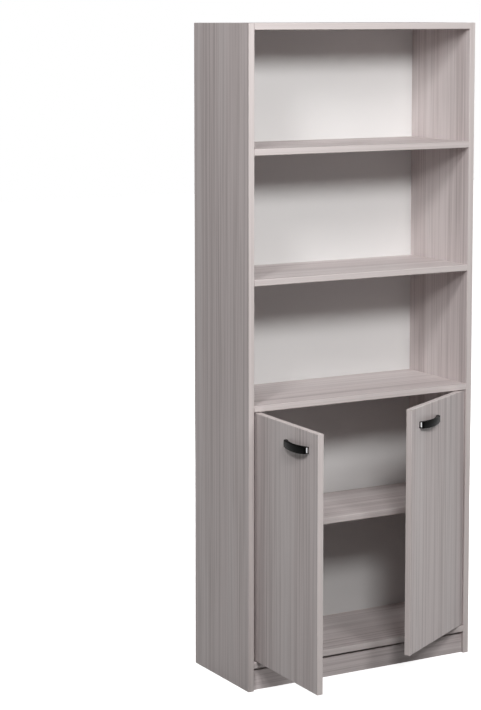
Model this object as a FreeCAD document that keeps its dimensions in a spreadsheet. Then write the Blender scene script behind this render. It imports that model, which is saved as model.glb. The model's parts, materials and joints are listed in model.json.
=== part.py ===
"""Bookcase with open shelves above a two-door cabinet.

Millimetres, +Z up. The origin lies on the floor at the middle of the plinth board's
underside, the front of the carcass faces -Y, and the doors stand open as they rest.
"""
import FreeCAD, Part
import os
import re
import Sketcher

doc = FreeCAD.newDocument("Bookcase")

# ---------------------------------------------------------------- driving sizes
SIZES = [
    # carcass
    ("carcass_width", 736), ("carcass_depth", 304), ("carcass_height", 1820),
    ("board", 18), ("arris", 2),
    ("upper_shelf_level", 1468), ("lower_shelf_level", 1117), ("cabinet_top_level", 774),
    ("cabinet_shelf_level", 431), ("cabinet_shelf_setback", 25), ("cabinet_shelf_play", 1),
    ("plinth_height", 55), ("plinth_gap", 8), ("plinth_setback", 10),
    ("back_thickness", 3), ("back_inset", 14), ("groove_depth", 6),
    # knock-down fittings
    ("front_fitting_setback", 50), ("rear_fitting_setback", 70), ("dowel_spacing", 32),
    ("dowel_radius", 4), ("dowel_in_side", 11), ("dowel_in_shelf", 24),
    ("cam_radius", 7.5), ("cam_height", 13), ("cam_distance", 34),
    ("cam_slot_width", 2), ("cam_slot_depth", 2.5),
    ("bolt_thread_radius", 2.5), ("bolt_thread_length", 11),
    ("bolt_neck_radius", 3.5), ("bolt_neck_length", 30),
    ("nail_radius", 0.8), ("nail_length", 20), ("nail_head_radius", 2.2),
    ("nail_head_height", 1), ("nail_spacing", 220),
    ("shelf_pin_radius", 2.5), ("shelf_pin_in_side", 8), ("shelf_pin_reach", 9),
    ("shelf_pin_width", 8), ("shelf_pin_setback", 45),
    # doors
    ("door_side_gap", 3), ("door_middle_gap", 3), ("door_end_gap", 2),
    ("left_door_opening", 91), ("right_door_opening", 30),
    # concealed cup hinges
    ("pivot_inset", 14.5), ("pivot_depth", 8.5), ("hinge_from_door_end", 100),
    ("pin_radius", 1.25), ("pin_play", 0.05),
    ("cup_radius", 17.5), ("cup_depth", 13), ("cup_wall", 1), ("cup_floor", 0.8),
    ("cup_edge_distance", 4.5), ("flange_radius", 19), ("flange_thickness", 1.5),
    ("ear_offset", 9.5), ("ear_radius", 6), ("ear_spacing", 48),
    ("arm_width", 11), ("arm_sheet", 2), ("arm_clear_radius", 15.8), ("eye_radius", 2.3),
    ("plate_thickness", 8), ("plate_setback", 30), ("plate_length", 56), ("plate_width", 14),
    ("wing_thickness", 2), ("wing_radius", 6), ("wing_setback", 37), ("wing_spacing", 32),
    ("arm_screw_setback", 70), ("arm_end_margin", 2),
    # wood screws and machine screws
    ("screw_radius", 1.75), ("screw_length", 14.5), ("screw_head_radius", 3.4),
    ("screw_head_height", 1.6), ("arm_screw_radius", 2), ("arm_screw_length", 6),
    # half-moon bow handles
    ("handle_length", 128), ("handle_height", 26), ("handle_end_height", 15),
    ("handle_projection", 24), ("handle_end_projection", 5), ("handle_shell", 4.5),
    ("handle_foot", 7), ("handle_from_free_edge", 40.5), ("handle_from_door_top", 41),
    ("handle_hole_spacing", 96), ("handle_hole_drop", 9), ("handle_boss_radius", 4.5),
    ("handle_boss_length", 10), ("handle_screw_radius", 2), ("handle_screw_grip", 8),
    ("handle_screw_head_radius", 4), ("handle_screw_head_height", 2),
]

# sizes that follow from the driving ones
DERIVED = [
    ("inner_half", "carcass_width / 2 - board"),
    ("front", "-plinth_setback - board / 2"),
    ("rear", "front + carcass_depth"),
    ("back_front", "rear - back_inset - back_thickness"),
    ("bottom_level", "plinth_height + plinth_gap"),
    ("top_level", "carcass_height - board"),
    ("front_row", "front + front_fitting_setback"),
    ("rear_row", "rear - rear_fitting_setback"),
    ("cabinet_shelf_front", "front + cabinet_shelf_setback"),
    ("door_width", "inner_half - door_side_gap - door_middle_gap / 2"),
    ("door_bottom", "bottom_level + board + door_end_gap"),
    ("door_top", "cabinet_top_level - door_end_gap"),
    ("door_edge", "door_side_gap - pivot_inset"),
    ("door_back", "board - pivot_depth"),
    ("pivot_across", "inner_half - pivot_inset"),
    ("pivot_along", "front + pivot_depth"),
    ("lower_hinge_level", "door_bottom + hinge_from_door_end"),
    ("upper_hinge_level", "door_top - hinge_from_door_end"),
    ("cup_centre", "door_edge + cup_edge_distance + cup_radius"),
    ("cup_bottom", "door_back - cup_depth"),
    ("pin_half_length", "sqrt((cup_radius - cup_wall / 2) ^ 2 - (cup_centre + pin_radius) ^ 2)"),
    ("ear_centre", "cup_centre + ear_offset"),
    ("flange_top", "door_back + flange_thickness"),
    ("half_sheet", "arm_sheet / 2"),
    ("eye_start", "(pin_radius + pin_play + eye_radius) / 2"),
    ("arm_outer", "arm_clear_radius + arm_sheet"),
    ("arm_seat", "plate_thickness - pivot_inset"),
    ("arm_face", "arm_seat + arm_sheet"),
    ("arm_end", "plate_setback + plate_length - arm_end_margin - pivot_depth"),
    ("handle_centre", "door_edge + door_width - handle_from_free_edge - handle_length / 2"),
    ("handle_top", "door_top - handle_from_door_top"),
    ("handle_bottom", "handle_top - handle_height"),
    ("handle_outer", "-pivot_depth - handle_projection"),
    ("bow_rise", "handle_projection - handle_end_projection"),
    ("bow_radius", "(handle_length ^ 2 / 4 + bow_rise ^ 2) / (2 * bow_rise)"),
    ("grip_depth", "handle_projection - handle_shell"),
    ("grip_half", "handle_length / 2 - handle_foot"),
    ("grip_radius", "(grip_half ^ 2 + grip_depth ^ 2) / (2 * grip_depth)"),
    ("moon_drop", "handle_height - handle_end_height"),
    ("moon_radius", "(handle_length ^ 2 / 4 + moon_drop ^ 2) / (2 * moon_drop)"),
]

sheet = doc.addObject("Spreadsheet::Sheet", "Sizes")
cells = [(alias, str(value)) for alias, value in SIZES]
cells += [(alias, "=" + text) for alias, text in DERIVED]
WORDS = {alias for alias, _ in cells}
for row, (alias, content) in enumerate(cells, start=1):
    sheet.set(f"A{row}", alias)
    sheet.setAlias(f"B{row}", alias)
for row, (alias, content) in enumerate(cells, start=1):
    sheet.set(f"B{row}", content)
doc.recompute()

LEFT, RIGHT = -1, 1
SIDE_NAMES = {LEFT: "left", RIGHT: "right"}
LEVELS = {"lower": "lower_hinge_level", "upper": "upper_hinge_level"}


# ---------------------------------------------------------------- small helpers
def formula(text):
    """Point every size named in a formula at its cell in the sheet."""
    def cell(word):
        return "Sizes." + word[0] if word[0] in WORDS else word[0]
    return re.sub(r"[a-z_]+", cell, str(text))


PLACES = {"at_x": "Placement.Base.x", "at_y": "Placement.Base.y", "at_z": "Placement.Base.z"}


def bind(item, **sizes):
    """Bind properties of an object, such as Length or at_x, to formulas."""
    for name, text in sizes.items():
        item.setExpression(PLACES.get(name, name), formula(text))
    return item


AXES = {"x": FreeCAD.Rotation(FreeCAD.Vector(0, 1, 0), 90),
        "-x": FreeCAD.Rotation(FreeCAD.Vector(0, 1, 0), -90),
        "y": FreeCAD.Rotation(FreeCAD.Vector(1, 0, 0), -90),
        "-y": FreeCAD.Rotation(FreeCAD.Vector(1, 0, 0), 90),
        "z": FreeCAD.Rotation()}


def box(name, x, y, z, length, width, height):
    item = doc.addObject("Part::Box", name)
    return bind(item, at_x=x, at_y=y, at_z=z, Length=length, Width=width, Height=height)


def rod(name, axis, x, y, z, radius, length):
    item = doc.addObject("Part::Cylinder", name)
    item.Placement.Rotation = AXES[axis]
    return bind(item, at_x=x, at_y=y, at_z=z, Radius=radius, Height=length)


def peg(name, axis, x, y, z, radius, length, sides=6):
    """Many-sided rod: hidden fittings that repeat are kept to few faces."""
    item = doc.addObject("Part::Prism", name)
    item.Polygon = sides
    item.Placement.Rotation = AXES[axis]
    return bind(item, at_x=x, at_y=y, at_z=z, Circumradius=radius, Height=length)


def fuse(name, parts):
    item = doc.addObject("Part::MultiFuse", name)
    item.Shapes = parts
    item.Refine = True
    return item


def common(name, parts):
    item = doc.addObject("Part::MultiCommon", name)
    item.Shapes = parts
    return item


def group(name, parts):
    item = doc.addObject("Part::Compound", name)
    item.Links = parts
    return item


def cut(name, base, *tools):
    for number, tool in enumerate(tools, start=1):
        item = doc.addObject("Part::Cut", name if number == len(tools) else f"{name}_stage_{number}")
        item.Base = base
        item.Tool = tool
        item.Refine = True
        base = item
    return base


PIECES = []


def piece(item, label):
    """Name a finished piece; the label is also the name of its file."""
    item.Label = label
    PIECES.append(item)
    return item


def hung_piece(items, label, side):
    """Finished piece of a door, modelled shut about its hinge axis and swung to its rest."""
    opening = f"{SIDE_NAMES[side]}_door_opening"
    hung = group(label, items)
    axis_place = f"vector({side} * pivot_across; pivot_along; 0)"
    swing = f"rotation(vector(0; 0; 1); {side} * {opening})"
    hung.setExpression("Placement", formula(f"placement({axis_place}; {swing})"))
    return piece(hung, label)


def inward(side, start):
    """World x of a point that lies start inside the inner face of a side panel."""
    return f"{side} * (inner_half - ({start}))"


def inward_box(name, side, start, y, z, length, width, height):
    x = inward(side, start) if side == LEFT else f"inner_half - ({start}) - ({length})"
    return box(name, x, y, z, length, width, height)


def inward_axis(side):
    return "x" if side == LEFT else "-x"


def inward_peg(name, side, start, y, z, radius, length, sides=6):
    return peg(name, inward_axis(side), inward(side, start), y, z, radius, length, sides)


def door_x(side, start, length="0"):
    """Lower x of a stretch of a shut door, measured from its hinge axis to its free edge."""
    return start if side == LEFT else f"-({start}) - ({length})"


def rounded_board(name, x, y, z, length, width, height, rounds):
    """Edge-banded board; rounds picks the edges of the blank that get the arris radius."""
    body = doc.addObject("PartDesign::Body", name)
    blank = body.newObject("PartDesign::AdditiveBox", name + "_blank")
    bind(blank, at_x=x, at_y=y, at_z=z, Length=length, Width=width, Height=height)
    doc.recompute()
    limits = blank.Shape.BoundBox
    edges = [f"Edge{number}" for number, edge in enumerate(blank.Shape.Edges, start=1)
             if rounds(edge.BoundBox, limits)]
    band = body.newObject("PartDesign::Fillet", name + "_arris")
    band.Base = (blank, edges)
    bind(band, Radius="arris")
    return body


def same(one, other):
    return abs(one - other) < 1e-6


def front_uprights(edge, limits):
    return same(edge.YMax, limits.YMin) and edge.ZLength > edge.XLength


def front_levels(edge, limits):
    return same(edge.YMax, limits.YMin) and edge.XLength > edge.ZLength


def face_edges(edge, limits):
    """Every edge that does not run through the thickness."""
    return edge.YLength < edge.XLength + edge.ZLength


def outline(body, name, corners):
    """Closed sketch on the body's XY plane; corners are pairs of size names, signed if need be."""
    sketch = body.newObject("Sketcher::SketchObject", name)
    ground = next(plane for plane in body.Origin.OriginFeatures if plane.Role == "XY_Plane")
    sketch.AttachmentSupport = (ground, [""])
    sketch.MapMode = "FlatFace"
    def value(text):
        return -sheet.get(text[1:]) if text[0] == "-" else sheet.get(text)
    points = [FreeCAD.Vector(value(across), value(along)) for across, along in corners]
    for number, point in enumerate(points):
        sketch.addGeometry(Part.LineSegment(point, points[(number + 1) % len(points)]))
    for number, (point, corner) in enumerate(zip(points, corners)):
        sketch.addConstraint(Sketcher.Constraint("Coincident", number, 2, (number + 1) % len(points), 1))
        for kind, size, text in (("DistanceX", point.x, corner[0]), ("DistanceY", point.y, corner[1])):
            index = sketch.addConstraint(Sketcher.Constraint(kind, -1, 1, number, 1, size))
            sketch.renameConstraint(index, f"{kind}{number}")
            sketch.setExpression(f"Constraints.{kind}{number}", formula(text))
    return sketch


# ---------------------------------------------------------------- knock-down fittings
# Every fixed board is held at each end by two cams on steel bolts and two wooden dowels.
FIXED_BOARDS = {"top_panel": "top_level", "upper_open_shelf": "upper_shelf_level",
                "lower_open_shelf": "lower_shelf_level", "cabinet_top_shelf": "cabinet_top_level",
                "bottom_panel": "bottom_level"}

bolt_rods, cam_discs, cam_slots, dowel_rods = [], [], [], []
for board_name, level in FIXED_BOARDS.items():
    middle = f"{level} + board / 2"
    for side in (LEFT, RIGHT):
        for place, row_y, dowel_y in (("front", "front_row", "front_row + dowel_spacing"),
                                      ("rear", "rear_row", "rear_row - dowel_spacing")):
            name = f"{board_name}_{SIDE_NAMES[side]}_{place}"
            bolt_rods.append(inward_peg(name + "_bolt_thread", side, "-bolt_thread_length", row_y, middle,
                                        "bolt_thread_radius", "bolt_thread_length"))
            bolt_rods.append(inward_peg(name + "_bolt_neck", side, "0", row_y, middle,
                                        "bolt_neck_radius", "bolt_neck_length"))
            cam_discs.append(peg(name + "_cam_disc", "z", inward(side, "cam_distance"), row_y, level,
                                 "cam_radius", "cam_height", sides=8))
            cam_slots.append(inward_box(name + "_cam_slot", side, "cam_distance - cam_radius / 2",
                                        f"{row_y} - cam_slot_width / 2", level,
                                        "cam_radius", "cam_slot_width", "cam_slot_depth"))
            dowel_rods.append(inward_peg(name + "_dowel", side, "-dowel_in_side", dowel_y, middle,
                                         "dowel_radius", "dowel_in_side + dowel_in_shelf"))
for side in (LEFT, RIGHT):
    for share in (0.25, 0.75):
        dowel_rods.append(inward_peg(f"plinth_{SIDE_NAMES[side]}_dowel_{int(share * 100)}", side,
                                     "-dowel_in_side", "front + plinth_setback + board / 2",
                                     f"plinth_height * {share}", "dowel_radius",
                                     "dowel_in_side + dowel_in_shelf"))
cam_bolts = piece(fuse("cam_bolts", bolt_rods), "cam_bolts")
wooden_dowels = piece(group("wooden_dowels", dowel_rods), "wooden_dowels")
cam_bores = group("cam_bores", cam_discs)
cam_locks = piece(cut("cam_locks", cam_bores, group("cam_slots", cam_slots), cam_bolts), "cam_locks")

# Flat-tongued pins carry the loose cabinet shelf.
pin_parts = []
for side in (LEFT, RIGHT):
    for place, pin_y in (("front", "cabinet_shelf_front + shelf_pin_setback"),
                         ("rear", "back_front - shelf_pin_setback")):
        name = f"shelf_pin_{SIDE_NAMES[side]}_{place}"
        pin_parts.append(inward_peg(name + "_stem", side, "-shelf_pin_in_side", pin_y,
                                    "cabinet_shelf_level - shelf_pin_radius", "shelf_pin_radius",
                                    "shelf_pin_in_side + shelf_pin_reach"))
        pin_parts.append(inward_box(name + "_tongue", side, "0", f"{pin_y} - shelf_pin_width / 2",
                                    "cabinet_shelf_level - shelf_pin_radius", "shelf_pin_reach",
                                    "shelf_pin_width", "shelf_pin_radius"))
shelf_pins = piece(fuse("shelf_pins", pin_parts), "shelf_pins")

# Panel nails go through the back into the rear edges of the shelves between top and bottom.
NAILED_BOARDS = ("upper_open_shelf", "lower_open_shelf", "cabinet_top_shelf")
nail_parts = []
for board_name in NAILED_BOARDS:
    for step in (-1, 0, 1):
        name = f"{board_name}_nail_{step + 1}"
        place = (f"{step} * nail_spacing", "back_front + back_thickness",
                 f"{FIXED_BOARDS[board_name]} + board / 2")
        nail_parts.append(peg(name + "_shank", "-y", *place, "nail_radius", "nail_length"))
        nail_parts.append(peg(name + "_head", "y", *place, "nail_head_radius", "nail_head_height"))
back_panel_nails = piece(fuse("back_panel_nails", nail_parts), "back_panel_nails")

# ---------------------------------------------------------------- fixed half of the hinges
# A cross-shaped plate is screwed to the side panel, and a swan-neck arm sits on its ridge.
plate_screw_parts, arm_screw_parts = [], []
for side in (LEFT, RIGHT):
    for height_name, level in LEVELS.items():
        name = f"{SIDE_NAMES[side]}_{height_name}"
        for end in (-1, 1):
            place = ("front + wing_setback", f"{level} + {end} * wing_spacing / 2")
            plate_screw_parts.append(inward_peg(f"{name}_plate_screw_{end + 1}_shank", side,
                                                "wing_thickness - screw_length", *place,
                                                "screw_radius", "screw_length"))
            plate_screw_parts.append(inward_peg(f"{name}_plate_screw_{end + 1}_head", side,
                                                "wing_thickness", *place,
                                                "screw_head_radius", "screw_head_height", sides=8))
        place = ("front + arm_screw_setback", level)
        arm_screw_parts.append(inward_peg(f"{name}_arm_screw_shank", side,
                                          "plate_thickness + arm_sheet - arm_screw_length", *place,
                                          "arm_screw_radius", "arm_screw_length"))
        arm_screw_parts.append(inward_peg(f"{name}_arm_screw_head", side, "plate_thickness + arm_sheet",
                                          *place, "screw_head_radius", "screw_head_height", sides=8))
hinge_plate_screws = piece(fuse("hinge_plate_screws", plate_screw_parts), "hinge_plate_screws")
hinge_arm_screws = piece(fuse("hinge_arm_screws", arm_screw_parts), "hinge_arm_screws")


def mounting_plate(name, side, level):
    wing_y = "front + wing_setback"
    parts = [inward_box(name + "_ridge", side, "0", "front + plate_setback", f"{level} - plate_width / 2",
                        "plate_thickness", "plate_length", "plate_width"),
             inward_box(name + "_wings", side, "0", f"{wing_y} - wing_radius", f"{level} - wing_spacing / 2",
                        "wing_thickness", "2 * wing_radius", "wing_spacing")]
    for end in (-1, 1):
        parts.append(inward_peg(f"{name}_wing_end_{end + 1}", side, "0", wing_y,
                                f"{level} + {end} * wing_spacing / 2", "wing_radius", "wing_thickness", sides=8))
    return cut(name, fuse(name + "_cross", parts), hinge_plate_screws, hinge_arm_screws)


def hinge_arm(name, side, level):
    """Strip bent clear of the door's swept corner, with an eye round the pivot pin."""
    body = doc.addObject("PartDesign::Body", name + "_strip")
    bind(body, at_x=f"{side} * pivot_across", at_y="pivot_along", at_z=f"{level} - arm_width / 2")
    zero_side = [("eye_start", "-half_sheet"), ("arm_outer", "-half_sheet"), ("arm_outer", "arm_outer"),
                 ("arm_face", "arm_outer"), ("arm_face", "arm_end"), ("arm_seat", "arm_end"),
                 ("arm_seat", "arm_clear_radius"), ("arm_clear_radius", "arm_clear_radius"),
                 ("arm_clear_radius", "half_sheet"), ("eye_start", "half_sheet")]
    corners = [(across if side == LEFT else "-" + across, along) for across, along in zero_side]
    strip = body.newObject("PartDesign::Pad", name + "_bent_strip")
    strip.Profile = outline(body, name + "_profile", corners)
    bind(strip, Length="arm_width")
    eye = body.newObject("PartDesign::AdditiveCylinder", name + "_eye")
    bind(eye, Radius="eye_radius", Height="arm_width")
    bore = body.newObject("PartDesign::SubtractiveCylinder", name + "_eye_bore")
    bind(bore, Radius="pin_radius + pin_play", Height="arm_width")
    return cut(name, body, hinge_arm_screws)


for side in (LEFT, RIGHT):
    name = SIDE_NAMES[side]
    plates = [mounting_plate(f"{name}_{height_name}_plate", side, level)
              for height_name, level in LEVELS.items()]
    arms = [hinge_arm(f"{name}_{height_name}_arm", side, level)
            for height_name, level in LEVELS.items()]
    piece(group(f"{name}_hinge_plates", plates), f"{name}_hinge_plates")
    piece(group(f"{name}_hinge_arms", arms), f"{name}_hinge_arms")

# ---------------------------------------------------------------- carcass boards
# White hardboard back in grooves of the sides, top and bottom.
back_blank = box("back_blank", "-inner_half - groove_depth", "back_front",
                 "bottom_level + board - groove_depth", "2 * (inner_half + groove_depth)",
                 "back_thickness", "top_level - bottom_level - board + 2 * groove_depth")
back_panel = piece(cut("back_panel", back_blank, back_panel_nails), "back_panel")

for side in (LEFT, RIGHT):
    name = f"{SIDE_NAMES[side]}_side_panel"
    outer_x = "-carcass_width / 2" if side == LEFT else "inner_half"
    blank = rounded_board(name + "_board", outer_x, "front", "0", "board", "carcass_depth",
                          "carcass_height", front_uprights)
    piece(cut(name, blank, back_panel, wooden_dowels, cam_bolts, shelf_pins, hinge_plate_screws), name)

for name, level in FIXED_BOARDS.items():
    nailed = name in NAILED_BOARDS
    depth = "back_front - front" if nailed else "carcass_depth"
    blank = rounded_board(name + "_board", "-inner_half", "front", level, "2 * inner_half", depth,
                          "board", front_levels)
    rear_joint = back_panel_nails if nailed else back_panel
    piece(cut(name, blank, wooden_dowels, cam_bolts, cam_bores, rear_joint), name)

# Loose shelf, set back so that the doors' hinge edges swing clear of it.
cabinet_shelf = rounded_board("cabinet_shelf", "-inner_half + cabinet_shelf_play", "cabinet_shelf_front",
                              "cabinet_shelf_level", "2 * (inner_half - cabinet_shelf_play)",
                              "back_front - cabinet_shelf_play - cabinet_shelf_front", "board",
                              front_levels)
piece(cabinet_shelf, "cabinet_shelf")

plinth_blank = box("plinth_blank", "-inner_half", "front + plinth_setback", "0",
                   "2 * inner_half", "board", "plinth_height")
piece(cut("plinth_board", plinth_blank, wooden_dowels), "plinth_board")


# ---------------------------------------------------------------- doors
# Everything below is modelled with the door shut and the hinge axis at x = y = 0, then hung.
def cup_screws(side):
    parts = []
    for height_name, level in LEVELS.items():
        for end in (-1, 1):
            place = (door_x(side, "ear_centre"), "flange_top", f"{level} + {end} * ear_spacing / 2")
            name = f"{SIDE_NAMES[side]}_{height_name}_cup_screw_{end + 1}"
            parts.append(peg(name + "_shank", "-y", *place, "screw_radius", "screw_length"))
            parts.append(peg(name + "_head", "y", *place, "screw_head_radius", "screw_head_height", sides=8))
    return fuse(f"{SIDE_NAMES[side]}_cup_screw_set", parts)


def pivot_pins(side):
    return group(f"{SIDE_NAMES[side]}_pin_set",
                 [rod(f"{SIDE_NAMES[side]}_{height_name}_pin", "z", "0", "0", f"{level} - pin_half_length",
                      "pin_radius", "2 * pin_half_length") for height_name, level in LEVELS.items()])


def cup_bore(name, side, level):
    return rod(name, "y", door_x(side, "cup_centre"), "cup_bottom", level, "cup_radius", "cup_depth")


def hinge_cup(name, side, level, screws, pins):
    """Pressed steel cup with a round flange and two screwed ears, open at the door's back."""
    across = door_x(side, "cup_centre")
    parts = [cup_bore(name + "_wall", side, level),
             rod(name + "_flange", "y", across, "door_back", level, "flange_radius", "flange_thickness"),
             box(name + "_ears", door_x(side, "ear_centre - ear_radius", "2 * ear_radius"), "door_back",
                 f"{level} - ear_spacing / 2", "2 * ear_radius", "flange_thickness", "ear_spacing")]
    for end in (-1, 1):
        parts.append(peg(f"{name}_ear_end_{end + 1}", "y", door_x(side, "ear_centre"), "door_back",
                         f"{level} + {end} * ear_spacing / 2", "ear_radius", "flange_thickness", sides=8))
    hollow = rod(name + "_hollow", "y", across, "cup_bottom + cup_floor", level, "cup_radius - cup_wall",
                 "cup_depth - cup_floor + flange_thickness")
    return cut(name, fuse(name + "_pressing", parts), hollow, screws, pins)


def handle_screws(side):
    parts = []
    for end in (-1, 1):
        place = (door_x(side, f"handle_centre + {end} * handle_hole_spacing / 2"), "door_back",
                 "handle_top - handle_hole_drop")
        name = f"{SIDE_NAMES[side]}_handle_screw_{end + 1}"
        parts.append(peg(name + "_shank", "-y", *place, "handle_screw_radius", "board + handle_screw_grip"))
        parts.append(peg(name + "_head", "y", *place, "handle_screw_head_radius",
                         "handle_screw_head_height", sides=8))
    return fuse(f"{SIDE_NAMES[side]}_handle_screw_set", parts)


def handle(name, side, screws):
    """Half-moon bow: an arched band with a straight top and a curved lower edge, on two feet."""
    centre = door_x(side, "handle_centre")
    blank = box(name + "_blank", door_x(side, "handle_centre - handle_length / 2", "handle_length"),
                "handle_outer", "handle_bottom", "handle_length", "handle_projection", "handle_height")
    bow = rod(name + "_bow", "z", centre, "handle_outer + bow_radius", "handle_bottom",
              "bow_radius", "handle_height")
    moon = rod(name + "_moon", "y", centre, "handle_outer", "handle_bottom + moon_radius",
               "moon_radius", "handle_projection")
    grip = rod(name + "_grip", "z", centre, "handle_outer + handle_shell + grip_radius", "handle_bottom",
               "grip_radius", "handle_height")
    band = cut(name + "_band", common(name + "_half_moon", [blank, bow, moon]), grip)
    bosses = [peg(f"{name}_boss_{end + 1}", "-y",
                  door_x(side, f"handle_centre + {end} * handle_hole_spacing / 2"), "-pivot_depth",
                  "handle_top - handle_hole_drop", "handle_boss_radius", "handle_boss_length", sides=8)
              for end in (-1, 1)]
    return cut(name, fuse(name + "_with_bosses", [band] + bosses), screws)


for side in (LEFT, RIGHT):
    name = SIDE_NAMES[side]
    screws, pins, pull_screws = cup_screws(side), pivot_pins(side), handle_screws(side)
    leaf = rounded_board(f"{name}_leaf_board", door_x(side, "door_edge", "door_width"), "-pivot_depth",
                         "door_bottom", "door_width", "board", "door_top - door_bottom", face_edges)
    bores = group(f"{name}_cup_bores", [cup_bore(f"{name}_{height_name}_bore", side, level)
                                        for height_name, level in LEVELS.items()])
    cups = [hinge_cup(f"{name}_{height_name}_cup", side, level, screws, pins)
            for height_name, level in LEVELS.items()]
    hung_piece([cut(f"{name}_leaf", leaf, bores, screws, pull_screws)], f"{name}_door", side)
    hung_piece([handle(f"{name}_bow_handle", side, pull_screws)], f"{name}_handle", side)
    hung_piece([pull_screws], f"{name}_handle_screws", side)
    hung_piece(cups, f"{name}_hinge_cups", side)
    hung_piece([screws], f"{name}_cup_screws", side)
    hung_piece([pins], f"{name}_hinge_pins", side)

# ---------------------------------------------------------------- check and write
doc.recompute()
failed = [item.Label for item in doc.Objects if "Invalid" in item.State or "Error" in item.State]
failed += [item.Label for item in PIECES if item.Shape.isNull() or not item.Shape.isValid()]
if failed:
    raise RuntimeError("failed objects: " + ", ".join(failed))
os.makedirs("parts", exist_ok=True)
for item in PIECES:
    item.Shape.exportStep(f"parts/{item.Label}.step")
    print(f"{item.Label}: {len(item.Shape.Solids)} solids, {item.Shape.Volume / 1000:.1f} cm3")
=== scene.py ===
import bpy
import bmesh
import json
import math
from mathutils import Matrix, Vector


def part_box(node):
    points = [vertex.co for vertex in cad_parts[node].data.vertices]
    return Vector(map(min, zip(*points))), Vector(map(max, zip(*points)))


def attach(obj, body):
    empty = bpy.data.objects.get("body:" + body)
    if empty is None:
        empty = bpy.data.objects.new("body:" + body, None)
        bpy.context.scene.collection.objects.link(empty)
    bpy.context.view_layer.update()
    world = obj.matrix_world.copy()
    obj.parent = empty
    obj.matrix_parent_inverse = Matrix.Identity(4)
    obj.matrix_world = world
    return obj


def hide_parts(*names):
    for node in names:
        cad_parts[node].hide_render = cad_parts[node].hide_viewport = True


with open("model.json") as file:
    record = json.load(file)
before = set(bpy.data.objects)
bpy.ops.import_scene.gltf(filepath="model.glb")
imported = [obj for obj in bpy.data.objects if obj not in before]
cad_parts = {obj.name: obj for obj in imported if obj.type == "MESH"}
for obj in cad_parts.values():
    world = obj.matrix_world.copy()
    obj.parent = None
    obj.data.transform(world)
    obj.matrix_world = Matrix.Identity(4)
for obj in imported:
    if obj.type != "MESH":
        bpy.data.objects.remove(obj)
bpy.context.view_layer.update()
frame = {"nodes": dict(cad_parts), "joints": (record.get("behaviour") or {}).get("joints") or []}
nodes = frame["nodes"]

# ------------------------------------------------------------------ camera
# A long lens at about the height of the top, turned along the left side and tilted a little
# down. A small lens shift keeps the upright edges close to upright.
FRONT_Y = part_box("left_side_panel")[0][1]
CAMERA_LEFT, CAMERA_AWAY, CAMERA_HEIGHT = 3.1168, 4.7859, 1.844
CAMERA_TURN, CAMERA_DIP = math.radians(-29.643), math.radians(6.048)
LENS_MM, SENSOR_MM, LENS_SHIFT = 105.431, 36, -0.17

camera_data = bpy.data.cameras.new("camera")
camera_data.lens = LENS_MM
camera_data.sensor_width = SENSOR_MM
camera_data.shift_y = LENS_SHIFT
camera = bpy.data.objects.new("camera", camera_data)
camera.location = (-CAMERA_LEFT, FRONT_Y - CAMERA_AWAY, CAMERA_HEIGHT)
camera.rotation_euler = (math.radians(90) - CAMERA_DIP, 0, CAMERA_TURN)
bpy.context.scene.collection.objects.link(camera)
bpy.context.scene.camera = camera
bpy.context.scene.view_settings.view_transform = "Standard"


# ------------------------------------------------------------------ studio
# White paper floor that goes to pure white away from the object. A soft key lamp and a second
# lamp stand high at the left front, a fill in front, one at the right and one behind. The sky
# is faint at the horizon and stronger overhead.
def colour(code):
    """sRGB hex to the linear colour that a shader takes."""
    parts = [int(code[k:k + 2], 16) / 255 for k in (1, 3, 5)]
    return [v / 12.92 if v <= 0.04045 else ((v + 0.055) / 1.055) ** 2.4 for v in parts] + [1.0]


def new_material(name):
    material = bpy.data.materials.new(name)
    material.use_nodes = True
    material.node_tree.nodes.clear()
    return material


def add(tree, kind, links=None, **settings):
    """Add a node, set its properties or input values by name, and link its inputs."""
    node = tree.nodes.new(kind)
    for name, value in settings.items():
        if name.startswith("in_"):
            node.inputs[int(name[3:])].default_value = value
        elif hasattr(node, name):
            setattr(node, name, value)
        else:
            node.inputs[name.replace("_", " ")].default_value = value
    for socket, source in (links or {}).items():
        tree.links.new(source, node.inputs[socket])
    return node


GLOW_NEAR, GLOW_FAR = 0.84, 1.0
SHADE_REACH, WHITE_REACH = 0.9, 1.9
paper = new_material("white_paper_sweep")
tree = paper.node_tree
seen = add(tree, "ShaderNodeLightPath")
place = add(tree, "ShaderNodeTexCoord")
away = add(tree, "ShaderNodeVectorMath", {0: place.outputs["Object"]}, operation="LENGTH")
strength = add(tree, "ShaderNodeMapRange", {0: away.outputs["Value"]}, in_1=SHADE_REACH,
               in_2=WHITE_REACH, in_3=GLOW_NEAR, in_4=GLOW_FAR)
glow = add(tree, "ShaderNodeEmission", {"Strength": strength.outputs[0]}, Color=colour("#ffffff"))
pale = add(tree, "ShaderNodeBsdfDiffuse", Color=colour("#d5d4d3"))
matt = add(tree, "ShaderNodeBsdfDiffuse", Color=colour("#3c3b3b"))
lifted = add(tree, "ShaderNodeAddShader", {0: glow.outputs[0], 1: pale.outputs[0]})
eye_or_mirror = add(tree, "ShaderNodeMath", {0: seen.outputs["Is Camera Ray"],
                                             1: seen.outputs["Is Glossy Ray"]}, operation="MAXIMUM")
seen_white = add(tree, "ShaderNodeMath", {0: eye_or_mirror.outputs[0],
                                          1: seen.outputs["Is Transmission Ray"]}, operation="MAXIMUM")
shade = add(tree, "ShaderNodeMixShader", {0: seen_white.outputs[0], 1: matt.outputs[0],
                                          2: lifted.outputs[0]})
add(tree, "ShaderNodeOutputMaterial", {0: shade.outputs[0]})

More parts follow.
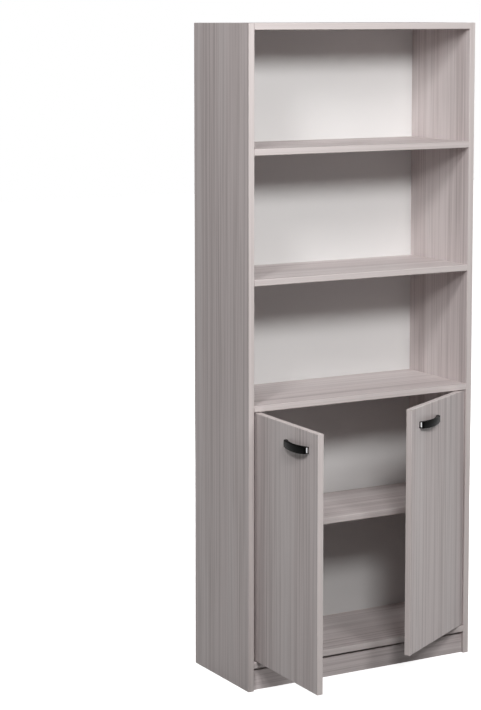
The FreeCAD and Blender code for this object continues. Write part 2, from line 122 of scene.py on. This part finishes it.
FLOOR_REACH = 14.0
floor_mesh = bpy.data.meshes.new("studio_floor")
floor_mesh.from_pydata([(x * FLOOR_REACH, y * FLOOR_REACH, 0)
                        for x, y in ((-1, -1), (1, -1), (1, 1), (-1, 1))], [], [(0, 1, 2, 3)])
floor_mesh.materials.append(paper)
floor = bpy.data.objects.new("studio_floor", floor_mesh)
bpy.context.scene.collection.objects.link(floor)

SKY_LOW, SKY_HIGH = 0.02, 0.34
world = bpy.data.worlds.new("studio_world")
bpy.context.scene.world = world
world.use_nodes = True
tree = world.node_tree
tree.nodes.clear()
seen = add(tree, "ShaderNodeLightPath")
place = add(tree, "ShaderNodeTexCoord")
split = add(tree, "ShaderNodeSeparateXYZ", {0: place.outputs["Generated"]})
overhead = add(tree, "ShaderNodeMapRange", {0: split.outputs["Z"]}, in_1=0.0, in_2=1.0,
               in_3=SKY_LOW, in_4=SKY_HIGH)
ambient = add(tree, "ShaderNodeBackground", {"Strength": overhead.outputs[0]},
              Color=colour("#f8f5f3"))
backdrop = add(tree, "ShaderNodeBackground", Color=colour("#ffffff"), Strength=1.0)
shade = add(tree, "ShaderNodeMixShader", {0: seen.outputs["Is Camera Ray"], 1: ambient.outputs[0],
                                          2: backdrop.outputs[0]})
add(tree, "ShaderNodeOutputWorld", {0: shade.outputs[0]})


AIM_HEIGHT = 1.1


def soft_lamp(name, bearing, distance, height, size, level):
    """Disk lamp; bearing is in degrees to the left of straight in front, and level is the
    brightness that it gives a white card at the shelves."""
    turn = math.radians(bearing)
    place = Vector((-distance * math.sin(turn), FRONT_Y - distance * math.cos(turn), height))
    aim = Vector((0, FRONT_Y, AIM_HEIGHT))
    data = bpy.data.lights.new(name, "AREA")
    data.shape = "DISK"
    data.size = size
    data.energy = level * (math.pi * (place - aim).length) ** 2
    lamp = bpy.data.objects.new(name, data)
    lamp.location = place
    lamp.rotation_euler = (aim - place).to_track_quat("-Z", "Y").to_euler()
    bpy.context.scene.collection.objects.link(lamp)


soft_lamp("key_lamp", bearing=22, distance=3.2, height=2.85, size=0.75, level=0.46)
soft_lamp("front_fill_lamp", bearing=-6, distance=3.2, height=2.9, size=0.8, level=0.26)
soft_lamp("left_front_lamp", bearing=54, distance=2.5, height=2.85, size=0.6, level=0.36)
soft_lamp("right_side_lamp", bearing=-118, distance=3.2, height=1.9, size=1.5, level=0.55)
soft_lamp("rear_lamp", bearing=-172, distance=3.4, height=1.9, size=1.5, level=0.60)

# ------------------------------------------------------------------ boards and doors
# Chipboard faced with melamine paper printed as pale ash, grain along each board. Cut edges
# that show carry an ironed-on band of the same print, a little paler; rear edges are raw.
# Pressed satin film: a broad soft sheen, with the print's pores barely raised. The pores are
# under a millimetre wide in the print and are drawn coarser, so that they show.
FILM_BASE, FILM_STREAK, FILM_PALE = colour("#d4cac9"), colour("#b9aead"), colour("#dbd3d2")
PORE_TONE = colour("#9b8f8e")
BAND_BASE, BAND_STREAK = colour("#d3cac8"), colour("#c5bbb9")
CHIP_PALE, CHIP_DARK = colour("#c8a97c"), colour("#8d6c45")
STREAK_WIDTH, STREAK_LENGTH = 0.0095, 1.1
CLOUD_WIDTH, CLOUD_LENGTH = 0.055, 2.2
PORE_WIDTH, PORE_LENGTH = 0.0034, 0.38
CHIP_SIZE = 0.0022
PORE_SHARE, PORE_RELIEF = 0.34, 0.0004
FILM_GLOSSY, FILM_DULL = 0.42, 0.58
X, Y, Z = 0, 1, 2


def ash_melamine(name, grain, thickness, turn=0.0, raw_rear=False):
    """grain is the axis (0, 1, 2) along the fibres and thickness the one through the board.
    turn brings an open door's coordinates back to where it is shut."""
    material = new_material(name)
    tree = material.node_tree
    place = add(tree, "ShaderNodeTexCoord")
    turned = add(tree, "ShaderNodeMapping", {0: place.outputs["Object"]}, vector_type="POINT",
                 in_2=(0, 0, turn))
    facing = add(tree, "ShaderNodeMapping", {0: place.outputs["Normal"]}, vector_type="NORMAL",
                 in_2=(0, 0, turn))

    def fibres(width, length, **settings):
        scale = [1 / width] * 3
        scale[grain] = 1 / length
        mapped = add(tree, "ShaderNodeMapping", {0: turned.outputs[0]}, vector_type="POINT",
                     in_3=scale)
        return add(tree, "ShaderNodeTexNoise", {"Vector": mapped.outputs[0]}, Scale=1.0, **settings)

    def ramp(noise, low, high, most=1.0):
        return add(tree, "ShaderNodeMapRange", {0: noise.outputs[0]}, in_1=low, in_2=high,
                   in_4=most).outputs[0]

    def blend(share, first, second):
        mixed = add(tree, "ShaderNodeMix", {0: share}, data_type="RGBA")
        for socket, tone in ((6, first), (7, second)):
            if isinstance(tone, list):
                mixed.inputs[socket].default_value = tone
            else:
                tree.links.new(tone, mixed.inputs[socket])
        return mixed.outputs[2]

    streaks = fibres(STREAK_WIDTH, STREAK_LENGTH, Detail=3.0, Roughness=0.55, Distortion=0.3)
    clouds = fibres(CLOUD_WIDTH, CLOUD_LENGTH, Detail=1.0)
    pores = fibres(PORE_WIDTH, PORE_LENGTH, Detail=2.0, Roughness=0.55)
    pore_share = ramp(pores, 0.53, 0.68, PORE_SHARE)
    film = blend(ramp(streaks, 0.44, 0.64), FILM_BASE, FILM_STREAK)
    film = blend(ramp(clouds, 0.48, 0.74, 0.8), film, FILM_PALE)
    film = blend(pore_share, film, PORE_TONE)
    band = blend(ramp(streaks, 0.45, 0.65), BAND_BASE, BAND_STREAK)
    # the cut edges are told from the faces by their normals
    split = add(tree, "ShaderNodeSeparateXYZ", {0: facing.outputs[0]})
    through = add(tree, "ShaderNodeMath", {0: split.outputs[thickness]}, operation="ABSOLUTE")
    on_edge = add(tree, "ShaderNodeMath", {0: through.outputs[0]}, operation="LESS_THAN", in_1=0.6)
    skin = blend(on_edge.outputs[0], film, band)
    if raw_rear:
        chips = add(tree, "ShaderNodeTexVoronoi", {"Vector": place.outputs["Object"]},
                    Scale=1 / CHIP_SIZE)
        chip = blend(ramp(chips, 0.1, 0.7), CHIP_PALE, CHIP_DARK)
        behind = add(tree, "ShaderNodeMath", {0: split.outputs[Y]}, operation="GREATER_THAN",
                     in_1=0.8)
        skin = blend(behind.outputs[0], skin, chip)
    rough = add(tree, "ShaderNodeMapRange", {0: pores.outputs[0]}, in_3=FILM_GLOSSY,
                in_4=FILM_DULL)
    bump = add(tree, "ShaderNodeBump", {"Height": pores.outputs[0]}, Strength=0.12,
               Distance=PORE_RELIEF)
    board = add(tree, "ShaderNodeBsdfPrincipled", {"Base Color": skin, "Roughness": rough.outputs[0],
                                                   "Normal": bump.outputs[0]}, IOR=1.5)
    add(tree, "ShaderNodeOutputMaterial", {0: board.outputs[0]})
    return material


def dress(material, *names):
    for name in names:
        nodes[name].data.materials.clear()
        nodes[name].data.materials.append(material)


LEFT, RIGHT = -1, 1
SIDE_NAMES = {LEFT: "left", RIGHT: "right"}
HINGES = {side: next(joint for joint in frame["joints"] if joint["name"] == f"{name}_door_hinge")
          for side, name in SIDE_NAMES.items()}
OPENING = {side: math.radians(-hinge["range_deg"][0]) for side, hinge in HINGES.items()}
dress(ash_melamine("ash_melamine_sides", grain=Z, thickness=X, raw_rear=True),
      "left_side_panel", "right_side_panel")
dress(ash_melamine("ash_melamine_shelves", grain=X, thickness=Z, raw_rear=True),
      "top_panel", "upper_open_shelf", "lower_open_shelf", "cabinet_top_shelf", "cabinet_shelf",
      "bottom_panel")
dress(ash_melamine("ash_melamine_plinth", grain=X, thickness=Y), "plinth_board")
for side, name in SIDE_NAMES.items():
    dress(ash_melamine(f"ash_melamine_{name}_door", grain=Z, thickness=Y, turn=-side * OPENING[side]),
          f"{name}_door")

# ------------------------------------------------------------------ back
# Three-millimetre hardboard, sprayed white on the side that faces the shelves and left brown
# behind, slid into grooves. Matt paint over a faint fibre texture.
FIBRES_PER_METRE, PATCHES_PER_METRE, FIBRE_RELIEF = 420.0, 3.0, 0.0003
hardboard = new_material("white_painted_hardboard")
tree = hardboard.node_tree
place = add(tree, "ShaderNodeTexCoord")
fibres = add(tree, "ShaderNodeTexNoise", {"Vector": place.outputs["Object"]},
             Scale=FIBRES_PER_METRE, Detail=4.0)
patches = add(tree, "ShaderNodeTexNoise", {"Vector": place.outputs["Object"]},
              Scale=PATCHES_PER_METRE, Detail=2.0)
white_tone = add(tree, "ShaderNodeMix", {0: patches.outputs[0]}, data_type="RGBA",
                 in_6=colour("#dcdbda"), in_7=colour("#e2e1e0"))
brown_tone = add(tree, "ShaderNodeMix", {0: fibres.outputs[0]}, data_type="RGBA",
                 in_6=colour("#8a6647"), in_7=colour("#a98260"))
split = add(tree, "ShaderNodeSeparateXYZ", {0: place.outputs["Normal"]})
behind = add(tree, "ShaderNodeMath", {0: split.outputs[Y]}, operation="GREATER_THAN", in_1=0.5)
tone = add(tree, "ShaderNodeMix", {0: behind.outputs[0], 6: white_tone.outputs[2],
                                   7: brown_tone.outputs[2]}, data_type="RGBA")
bump = add(tree, "ShaderNodeBump", {"Height": fibres.outputs[0]}, Strength=0.15,
           Distance=FIBRE_RELIEF)
paint = add(tree, "ShaderNodeBsdfPrincipled", {"Base Color": tone.outputs[2],
                                               "Normal": bump.outputs[0]}, Roughness=0.62)
add(tree, "ShaderNodeOutputMaterial", {0: paint.outputs[0]})
dress(hardboard, "back_panel")


# ------------------------------------------------------------------ handles
# Bow pulls moulded in black ABS and polished: a flat top, an arched lower edge and a band that
# stands out from the door and turns back to it at both ends, where a bright mirror clip wraps
# the corner as a painted highlight of the rounded end. Screws reach two bosses behind.
def hang(side):
    """From a shut door with its hinge axis at x = y = 0 to the door as it stands at rest."""
    return (Matrix.Translation(Vector((*HINGES[side]["pos_m"][:2], 0)))
            @ Matrix.Rotation(side * OPENING[side], 4, "Z"))


def link_piece(name, mesh, material):
    mesh.materials.clear()
    mesh.materials.append(material)
    item = bpy.data.objects.new(name, mesh)
    bpy.context.scene.collection.objects.link(item)
    return item


# Black ABS from a polished mould: near black, with a thin tight highlight along the bow.
RIPPLES_PER_METRE, RIPPLE_RELIEF = 140.0, 0.0005
abs_black = new_material("polished_black_abs")
tree = abs_black.node_tree
place = add(tree, "ShaderNodeTexCoord")
ripple = add(tree, "ShaderNodeTexNoise", {"Vector": place.outputs["Object"]},
             Scale=RIPPLES_PER_METRE, Detail=1.0)
bump = add(tree, "ShaderNodeBump", {"Height": ripple.outputs[0]}, Strength=0.03,
           Distance=RIPPLE_RELIEF)
rough = add(tree, "ShaderNodeMapRange", {0: ripple.outputs[0]}, in_3=0.20, in_4=0.28)
gloss = add(tree, "ShaderNodeBsdfPrincipled", {"Normal": bump.outputs[0],
                                               "Roughness": rough.outputs[0]},
            IOR=1.45, Specular_IOR_Level=0.03)
gloss.inputs["Base Color"].default_value = colour("#030303")
add(tree, "ShaderNodeOutputMaterial", {0: gloss.outputs[0]})

HANDLE_LENGTH, HANDLE_HEIGHT, HANDLE_END_HEIGHT = 0.116, 0.022, 0.018
HANDLE_REACH, HANDLE_END_REACH, HANDLE_SHELL, HANDLE_FOOT = 0.017, 0.0105, 0.0045, 0.009
HANDLE_MIDDLE = 0.2295
HANDLE_SECTIONS, ROUND_STEPS = 56, 5
EDGE_ROUND, END_ROUND = 0.0014, 0.007
BACK_ROUND, LEAST_WALL, ROUND_SHARE, SHARP_FROM = 0.0006, 0.0006, 0.45, math.radians(40)
DOOR_FACE = 0.0085
BOSS_SPACING, BOSS_DROP, BOSS_RADIUS, BOSS_LENGTH = 0.096, 0.009, 0.0045, 0.009


def sagged(across, half, rise):
    """Depth below its crown of an arc that falls by rise over half its chord."""
    radius = (half ** 2 + rise ** 2) / (2 * rise)
    return radius - math.sqrt(max(radius ** 2 - across ** 2, 0.0))


def turned_in(across):
    """How far the end's quarter round has fallen back at a place along the handle."""
    past = max(abs(across) - (HANDLE_LENGTH / 2 - END_ROUND), 0.0)
    return END_ROUND - math.sqrt(max(END_ROUND ** 2 - past ** 2, 0.0))


def front_reach(across):
    return (HANDLE_REACH - sagged(across, HANDLE_LENGTH / 2, HANDLE_REACH - HANDLE_END_REACH)
            - turned_in(across))


def rounded_section(low_out, high_out, low_z, high_z, outer, inner):
    """Corner-rounded rectangle as (out, z) points; outer rounds the two corners away from the door."""
    corners = ((high_out, high_z, 1, 1, outer), (low_out, high_z, -1, 1, inner),
               (low_out, low_z, -1, -1, inner), (high_out, low_z, 1, -1, outer))
    points = []
    for number, (out, z, out_sign, z_sign, radius) in enumerate(corners):
        for step in range(ROUND_STEPS + 1):
            turn = math.pi / 2 * (number + step / ROUND_STEPS)
            points.append((out - out_sign * radius + radius * math.cos(turn),
                           z - z_sign * radius + radius * math.sin(turn)))
    return points


def handle_mesh(name, side):
    half, grip_half = HANDLE_LENGTH / 2, HANDLE_LENGTH / 2 - HANDLE_FOOT
    hollow = HANDLE_REACH - HANDLE_SHELL
    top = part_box(f"{name}_handle")[1].z
    work = bmesh.new()
    rings = []
    for step in range(HANDLE_SECTIONS + 1):
        across = half * math.sin(math.pi / 2 * (2 * step / HANDLE_SECTIONS - 1))
        bottom = top - HANDLE_HEIGHT + sagged(across, half, HANDLE_HEIGHT - HANDLE_END_HEIGHT)
        behind = hollow - sagged(across, grip_half, hollow) if abs(across) < grip_half else 0.0
        outer = max(front_reach(across), behind + LEAST_WALL)
        edge = min(EDGE_ROUND, ROUND_SHARE * (outer - behind))
        ring = []
        for out, z in rounded_section(behind, outer, bottom, top, edge, min(edge, BACK_ROUND)):
            ring.append(work.verts.new((-side * (HANDLE_MIDDLE + across), -DOOR_FACE - out, z)))
        rings.append(ring)
    for ring, after in zip(rings, rings[1:]):
        for number in range(len(ring)):
            following = (number + 1) % len(ring)
            work.faces.new((ring[number], ring[following], after[following], after[number]))
    work.faces.new(rings[0])
    work.faces.new(rings[-1])
    for end in (-1, 1):
        boss_place = Matrix.Translation((-side * (HANDLE_MIDDLE + end * BOSS_SPACING / 2),
                                         -DOOR_FACE - BOSS_LENGTH / 2, top - BOSS_DROP))
        bmesh.ops.create_cone(work, cap_ends=True, segments=24, radius1=BOSS_RADIUS,
                              radius2=BOSS_RADIUS, depth=BOSS_LENGTH,
                              matrix=boss_place @ Matrix.Rotation(math.pi / 2, 4, "X"))
    bmesh.ops.recalc_face_normals(work, faces=work.faces)
    mesh = bpy.data.meshes.new(f"{name}_handle_moulding")
    work.to_mesh(mesh)
    work.free()
    mesh.transform(hang(side))
    mesh.shade_smooth()
    mesh.set_sharp_from_angle(angle=SHARP_FROM)
    return mesh


for side, name in SIDE_NAMES.items():
    moulding = link_piece(f"{name}_handle_moulding", handle_mesh(name, side), abs_black)
    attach(moulding, f"{name}_door_leaf")
    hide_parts(f"{name}_handle")

# The clips are a painted highlight: thin bright mirror strips bent round the ends' corners, set a
# little above the surface, where the rounded ends catch the lamp. They stop short of the edges, so
# black shows all round.
HAZE_PER_METRE = 300.0
# Painted highlight: a bright mirror metal for the clips, standing for the highlight on the handles'
# rounded ends.
highlight_chrome = new_material("painted_highlight_chrome")
tree = highlight_chrome.node_tree
place = add(tree, "ShaderNodeTexCoord")
haze = add(tree, "ShaderNodeTexNoise", {"Vector": place.outputs["Object"]},
           Scale=HAZE_PER_METRE, Detail=1.0)
rough = add(tree, "ShaderNodeMapRange", {0: haze.outputs[0]}, in_3=0.10, in_4=0.20)
plating = add(tree, "ShaderNodeBsdfPrincipled", {"Roughness": rough.outputs[0]}, Metallic=1.0)
plating.inputs["Base Color"].default_value = colour("#c2c3c5")
add(tree, "ShaderNodeOutputMaterial", {0: plating.outputs[0]})

CLIP_FROM, CLIP_STEPS = math.radians(60), 6
CLIP_DOOR_GAP, CLIP_TOP_GAP, CLIP_BOTTOM_GAP = 0.0024, 0.0012, 0.0030
CLIP_PROUD, CLIP_SUNK = 0.0003, 0.0005


def clip_mesh(name, side):
    half = HANDLE_LENGTH / 2
    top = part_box(f"{name}_handle")[1].z
    heights = (top - HANDLE_END_HEIGHT + CLIP_BOTTOM_GAP, top - CLIP_TOP_GAP)
    work = bmesh.new()
    for end in (-1, 1):
        path = []
        for step in range(CLIP_STEPS + 1):
            turn = CLIP_FROM + (math.pi / 2 - CLIP_FROM) * step / CLIP_STEPS
            across = half - END_ROUND * (1 - math.sin(turn))
            path.append((across, front_reach(across), math.sin(turn), math.cos(turn)))
        path.append((half, CLIP_DOOR_GAP, 1.0, 0.0))
        rings = []
        for across, out, along_way, out_way in path:
            ring = []
            for lift, z in ((CLIP_PROUD, heights[0]), (CLIP_PROUD, heights[1]),
                            (-CLIP_SUNK, heights[1]), (-CLIP_SUNK, heights[0])):
                ring.append(work.verts.new((
                    -side * (HANDLE_MIDDLE + end * (across + lift * along_way)),
                    -DOOR_FACE - out - lift * out_way, z)))
            rings.append(ring)
        for ring, after in zip(rings, rings[1:]):
            for number in range(4):
                following = (number + 1) % 4
                work.faces.new((ring[number], ring[following], after[following], after[number]))
        work.faces.new(rings[0])
        work.faces.new(rings[-1])
    bmesh.ops.recalc_face_normals(work, faces=work.faces)
    mesh = bpy.data.meshes.new(f"{name}_handle_end_highlight_clips")
    work.to_mesh(mesh)
    work.free()
    mesh.transform(hang(side))
    mesh.shade_smooth()
    mesh.set_sharp_from_angle(angle=SHARP_FROM)
    return mesh


for side, name in SIDE_NAMES.items():
    clips = link_piece(f"{name}_handle_end_highlight_clips", clip_mesh(name, side), highlight_chrome)
    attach(clips, f"{name}_door_leaf")


# ------------------------------------------------------------------ hinges and shelf fittings
# The hinges are pressed steel with bright nickel; the shelf pins, bolts and nails are zinc
# plated. All are bought parts, only seen inside the cabinet. Plating softens every edge.
def plated_metal(name, code, roughness, grit):
    material = new_material(name)
    tree = material.node_tree
    place = add(tree, "ShaderNodeTexCoord")
    grain = add(tree, "ShaderNodeTexNoise", {"Vector": place.outputs["Object"]}, Scale=1 / grit,
                Detail=2.0)
    rough = add(tree, "ShaderNodeMapRange", {0: grain.outputs[0]}, in_3=roughness - 0.06,
                in_4=roughness + 0.08)
    tint = add(tree, "ShaderNodeMix", {0: grain.outputs[0]}, data_type="RGBA", in_6=colour(code),
               in_7=[0.8 * v for v in colour(code)[:3]] + [1.0])
    metal = add(tree, "ShaderNodeBsdfPrincipled", {"Base Color": tint.outputs[2],
                                                   "Roughness": rough.outputs[0]}, Metallic=1.0)
    add(tree, "ShaderNodeOutputMaterial", {0: metal.outputs[0]})
    return material


nickel = plated_metal("nickel_plated_steel", "#c9c6c1", 0.24, 0.0012)
zinc = plated_metal("zinc_plated_steel", "#b9bcc0", 0.36, 0.0010)
cast_zinc = plated_metal("die_cast_zinc", "#a9abad", 0.50, 0.0008)
dress(nickel, "left_hinge_plates", "right_hinge_plates", "left_hinge_arms", "right_hinge_arms",
      "left_hinge_cups", "right_hinge_cups", "left_hinge_pins", "right_hinge_pins")
dress(zinc, "cam_bolts", "shelf_pins")

# Raw planed beech: matt, with fine darker flecks.
FLECKS_PER_METRE = 900.0
beech = new_material("beech_dowel_wood")
tree = beech.node_tree
place = add(tree, "ShaderNodeTexCoord")
fibre = add(tree, "ShaderNodeTexNoise", {"Vector": place.outputs["Object"]},
            Scale=FLECKS_PER_METRE, Detail=2.0)
tint = add(tree, "ShaderNodeMix", {0: fibre.outputs[0]}, data_type="RGBA", in_6=colour("#d9b98c"),
           in_7=colour("#b98f5e"))
wood = add(tree, "ShaderNodeBsdfPrincipled", {"Base Color": tint.outputs[2]}, Roughness=0.7)
add(tree, "ShaderNodeOutputMaterial", {0: wood.outputs[0]})
dress(beech, "wooden_dowels")


# ------------------------------------------------------------------ screws, nails and cams
# Cross-recessed raised-head screws, flat-headed panel pins and round cams, each set where its
# plain solid sits. Heads are stamped or cast, with a slightly domed rim.
WELD = 1e-6


def solids(name, to_place):
    """Lowest and highest corners of each separate solid of a CAD node, placed by a matrix."""
    work = bmesh.new()
    work.from_mesh(nodes[name].data)
    bmesh.ops.remove_doubles(work, verts=work.verts, dist=WELD)
    waiting = set(work.verts)
    found = []
    while waiting:
        queue = [waiting.pop()]
        island = []
        while queue:
            vert = queue.pop()
            island.append(to_place @ vert.co)
            beside = {other for edge in vert.link_edges for other in edge.verts} & waiting
            waiting -= beside
            queue += beside
        found.append((Vector([min(p[k] for p in island) for k in range(3)]),
                      Vector([max(p[k] for p in island) for k in range(3)])))
    work.free()
    return sorted(found, key=lambda corners: tuple(corners[0]))


def headed_fitting_tree():
    """Geometry Nodes: a head with an optional cross recess, on a shank, at every point."""
    tree = bpy.data.node_groups.new("headed_fittings", "GeometryNodeTree")
    sockets = (("Geometry", "NodeSocketGeometry"), ("Head Radius", "NodeSocketFloat"),
               ("Crown Radius", "NodeSocketFloat"), ("Head Height", "NodeSocketFloat"),
               ("Shank Radius", "NodeSocketFloat"), ("Shank Length", "NodeSocketFloat"),
               ("Crossed", "NodeSocketBool"), ("Recess Length", "NodeSocketFloat"),
               ("Recess Width", "NodeSocketFloat"), ("Recess Depth", "NodeSocketFloat"),
               ("Material", "NodeSocketMaterial"))
    for label, kind in sockets:
        tree.interface.new_socket(label, in_out="INPUT", socket_type=kind)
    tree.interface.new_socket("Geometry", in_out="OUTPUT", socket_type="NodeSocketGeometry")
    given = add(tree, "NodeGroupInput").outputs
    head = add(tree, "GeometryNodeMeshCone", {"Radius Bottom": given["Head Radius"],
                                              "Radius Top": given["Crown Radius"],
                                              "Depth": given["Head Height"]}, Vertices=24)
    recess_parts = []
    for long_axis in (X, Y):
        order = ["Recess Width", "Recess Width"]
        order[long_axis] = "Recess Length"
        size = add(tree, "ShaderNodeCombineXYZ", {0: given[order[0]], 1: given[order[1]],
                                                  2: given["Recess Depth"]})
        recess_parts.append(add(tree, "GeometryNodeMeshCube", {"Size": size.outputs[0]}))
    lift = add(tree, "ShaderNodeCombineXYZ", {2: given["Head Height"]})
    cutters = []
    for part in recess_parts:
        cutters.append(add(tree, "GeometryNodeTransform", {"Geometry": part.outputs[0],
                                                           "Translation": lift.outputs[0]}))
    crossed = add(tree, "GeometryNodeMeshBoolean", {"Mesh 1": head.outputs["Mesh"]},
                  operation="DIFFERENCE")
    for cutter in cutters:
        tree.links.new(cutter.outputs[0], crossed.inputs["Mesh 2"])
    chosen = add(tree, "GeometryNodeSwitch", {"Switch": given["Crossed"],
                                              "False": head.outputs["Mesh"],
                                              "True": crossed.outputs["Mesh"]}, input_type="GEOMETRY")
    shank = add(tree, "GeometryNodeMeshCylinder", {"Radius": given["Shank Radius"],
                                                   "Depth": given["Shank Length"]}, Vertices=16)
    sink = add(tree, "ShaderNodeMath", {0: given["Shank Length"]}, operation="MULTIPLY", in_1=-0.5)
    down = add(tree, "ShaderNodeCombineXYZ", {2: sink.outputs[0]})
    sunk = add(tree, "GeometryNodeTransform", {"Geometry": shank.outputs["Mesh"],
                                               "Translation": down.outputs[0]})
    whole = add(tree, "GeometryNodeJoinGeometry", {0: sunk.outputs[0]})
    tree.links.new(chosen.outputs[0], whole.inputs[0])
    facing = add(tree, "GeometryNodeInputNamedAttribute", data_type="FLOAT_VECTOR", Name="axis")
    turn = add(tree, "FunctionNodeAlignRotationToVector", {"Vector": facing.outputs["Attribute"]},
               axis="Z")
    placed = add(tree, "GeometryNodeInstanceOnPoints", {"Points": given["Geometry"],
                                                        "Instance": whole.outputs[0],
                                                        "Rotation": turn.outputs[0]})
    real = add(tree, "GeometryNodeRealizeInstances", {0: placed.outputs[0]})
    finished = add(tree, "GeometryNodeSetMaterial", {"Geometry": real.outputs[0],
                                                     "Material": given["Material"]})
    add(tree, "NodeGroupOutput", {0: finished.outputs[0]})
    return tree


HEADED_FITTINGS = headed_fitting_tree()


def fit_heads(name, node, body, slot, material, spots, to_world, **sizes):
    """One mesh of like fittings for a body; spots are (point, axis) pairs at the heads' bases."""
    mesh = bpy.data.meshes.new(name + "_points")
    mesh.from_pydata([tuple(point) for point, _ in spots], [], [])
    facing = mesh.attributes.new("axis", "FLOAT_VECTOR", "POINT")
    for number, (_, axis) in enumerate(spots):
        facing.data[number].vector = axis
    carrier = bpy.data.objects.new(name + "_points", mesh)
    bpy.context.scene.collection.objects.link(carrier)
    modifier = carrier.modifiers.new("heads", "NODES")
    modifier.node_group = HEADED_FITTINGS
    settings = {"Material": material, **{key.replace("_", " ").title(): value
                                         for key, value in sizes.items()}}
    for socket in HEADED_FITTINGS.interface.items_tree:
        if socket.in_out == "INPUT" and socket.name in settings:
            modifier[socket.identifier] = settings[socket.name]
    graph = bpy.context.evaluated_depsgraph_get()
    solid = bpy.data.meshes.new_from_object(carrier.evaluated_get(graph))
    bpy.data.objects.remove(carrier)
    solid.name = name
    solid.transform(to_world)
    item = link_piece(name, solid, material)
    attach(item, body)
    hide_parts(node)


def head_spots(corners, axis, head_height):
    """Centre of each head's base, for solids whose heads face along axis."""
    spots = []
    for low, high in corners:
        point = (low + high) / 2
        along = max(range(3), key=lambda k: abs(axis[k]))
        end = high[along] if axis[along] > 0 else low[along]
        point[along] = end - axis[along] * head_height
        spots.append((point, axis))
    return spots


def shank_length(corners, along, head_height):
    return corners[0][1][along] - corners[0][0][along] - head_height


NO_MOVE = Matrix.Identity(4)
SCREW = dict(head_radius=0.0034, crown_radius=0.0027, head_height=0.0016, shank_radius=0.00175,
             crossed=True, recess_length=0.0036, recess_width=0.0007, recess_depth=0.0022)
HANDLE_SCREW = dict(SCREW, head_radius=0.004, crown_radius=0.0031, head_height=0.002,
                    shank_radius=0.002, recess_length=0.0044, recess_depth=0.0026)
for node in ("hinge_plate_screws", "hinge_arm_screws"):
    found = solids(node, NO_MOVE)
    spots = [spot for low, high in found
             for spot in head_spots([(low, high)], Vector((1 if low.x < 0 else -1, 0, 0)),
                                    SCREW["head_height"])]
    fit_heads("crossed_" + node, node, "carcass", "hinge_steel", nickel, spots, NO_MOVE,
              shank_length=shank_length(found, X, SCREW["head_height"]), **SCREW)
for side, name in SIDE_NAMES.items():
    for node, sizes, slot in ((f"{name}_cup_screws", SCREW, "hinge_steel"),
                              (f"{name}_handle_screws", HANDLE_SCREW, "zinc_steel")):
        found = solids(node, hang(side).inverted())
        spots = head_spots(found, Vector((0, 1, 0)), sizes["head_height"])
        fit_heads("crossed_" + node, node, f"{name}_door_leaf", slot,
                  nickel if slot == "hinge_steel" else zinc, spots, hang(side),
                  shank_length=shank_length(found, Y, sizes["head_height"]), **sizes)

NAIL = dict(head_radius=0.0022, crown_radius=0.0019, head_height=0.001, shank_radius=0.0008,
            crossed=False)
found = solids("back_panel_nails", NO_MOVE)
fit_heads("panel_pins", "back_panel_nails", "carcass", "zinc_steel", zinc,
          head_spots(found, Vector((0, 1, 0)), NAIL["head_height"]), NO_MOVE,
          shank_length=shank_length(found, Y, NAIL["head_height"]), **NAIL)

CAM = dict(head_radius=0.0075, crown_radius=0.0072, head_height=0.013, shank_radius=0.003,
           shank_length=0.0001, crossed=True, recess_length=0.0085, recess_width=0.0018,
           recess_depth=0.005)
fit_heads("round_cams", "cam_locks", "carcass", "zinc_cam", cast_zinc,
          head_spots(solids("cam_locks", NO_MOVE), Vector((0, 0, -1)), CAM["head_height"]),
          NO_MOVE, **CAM)
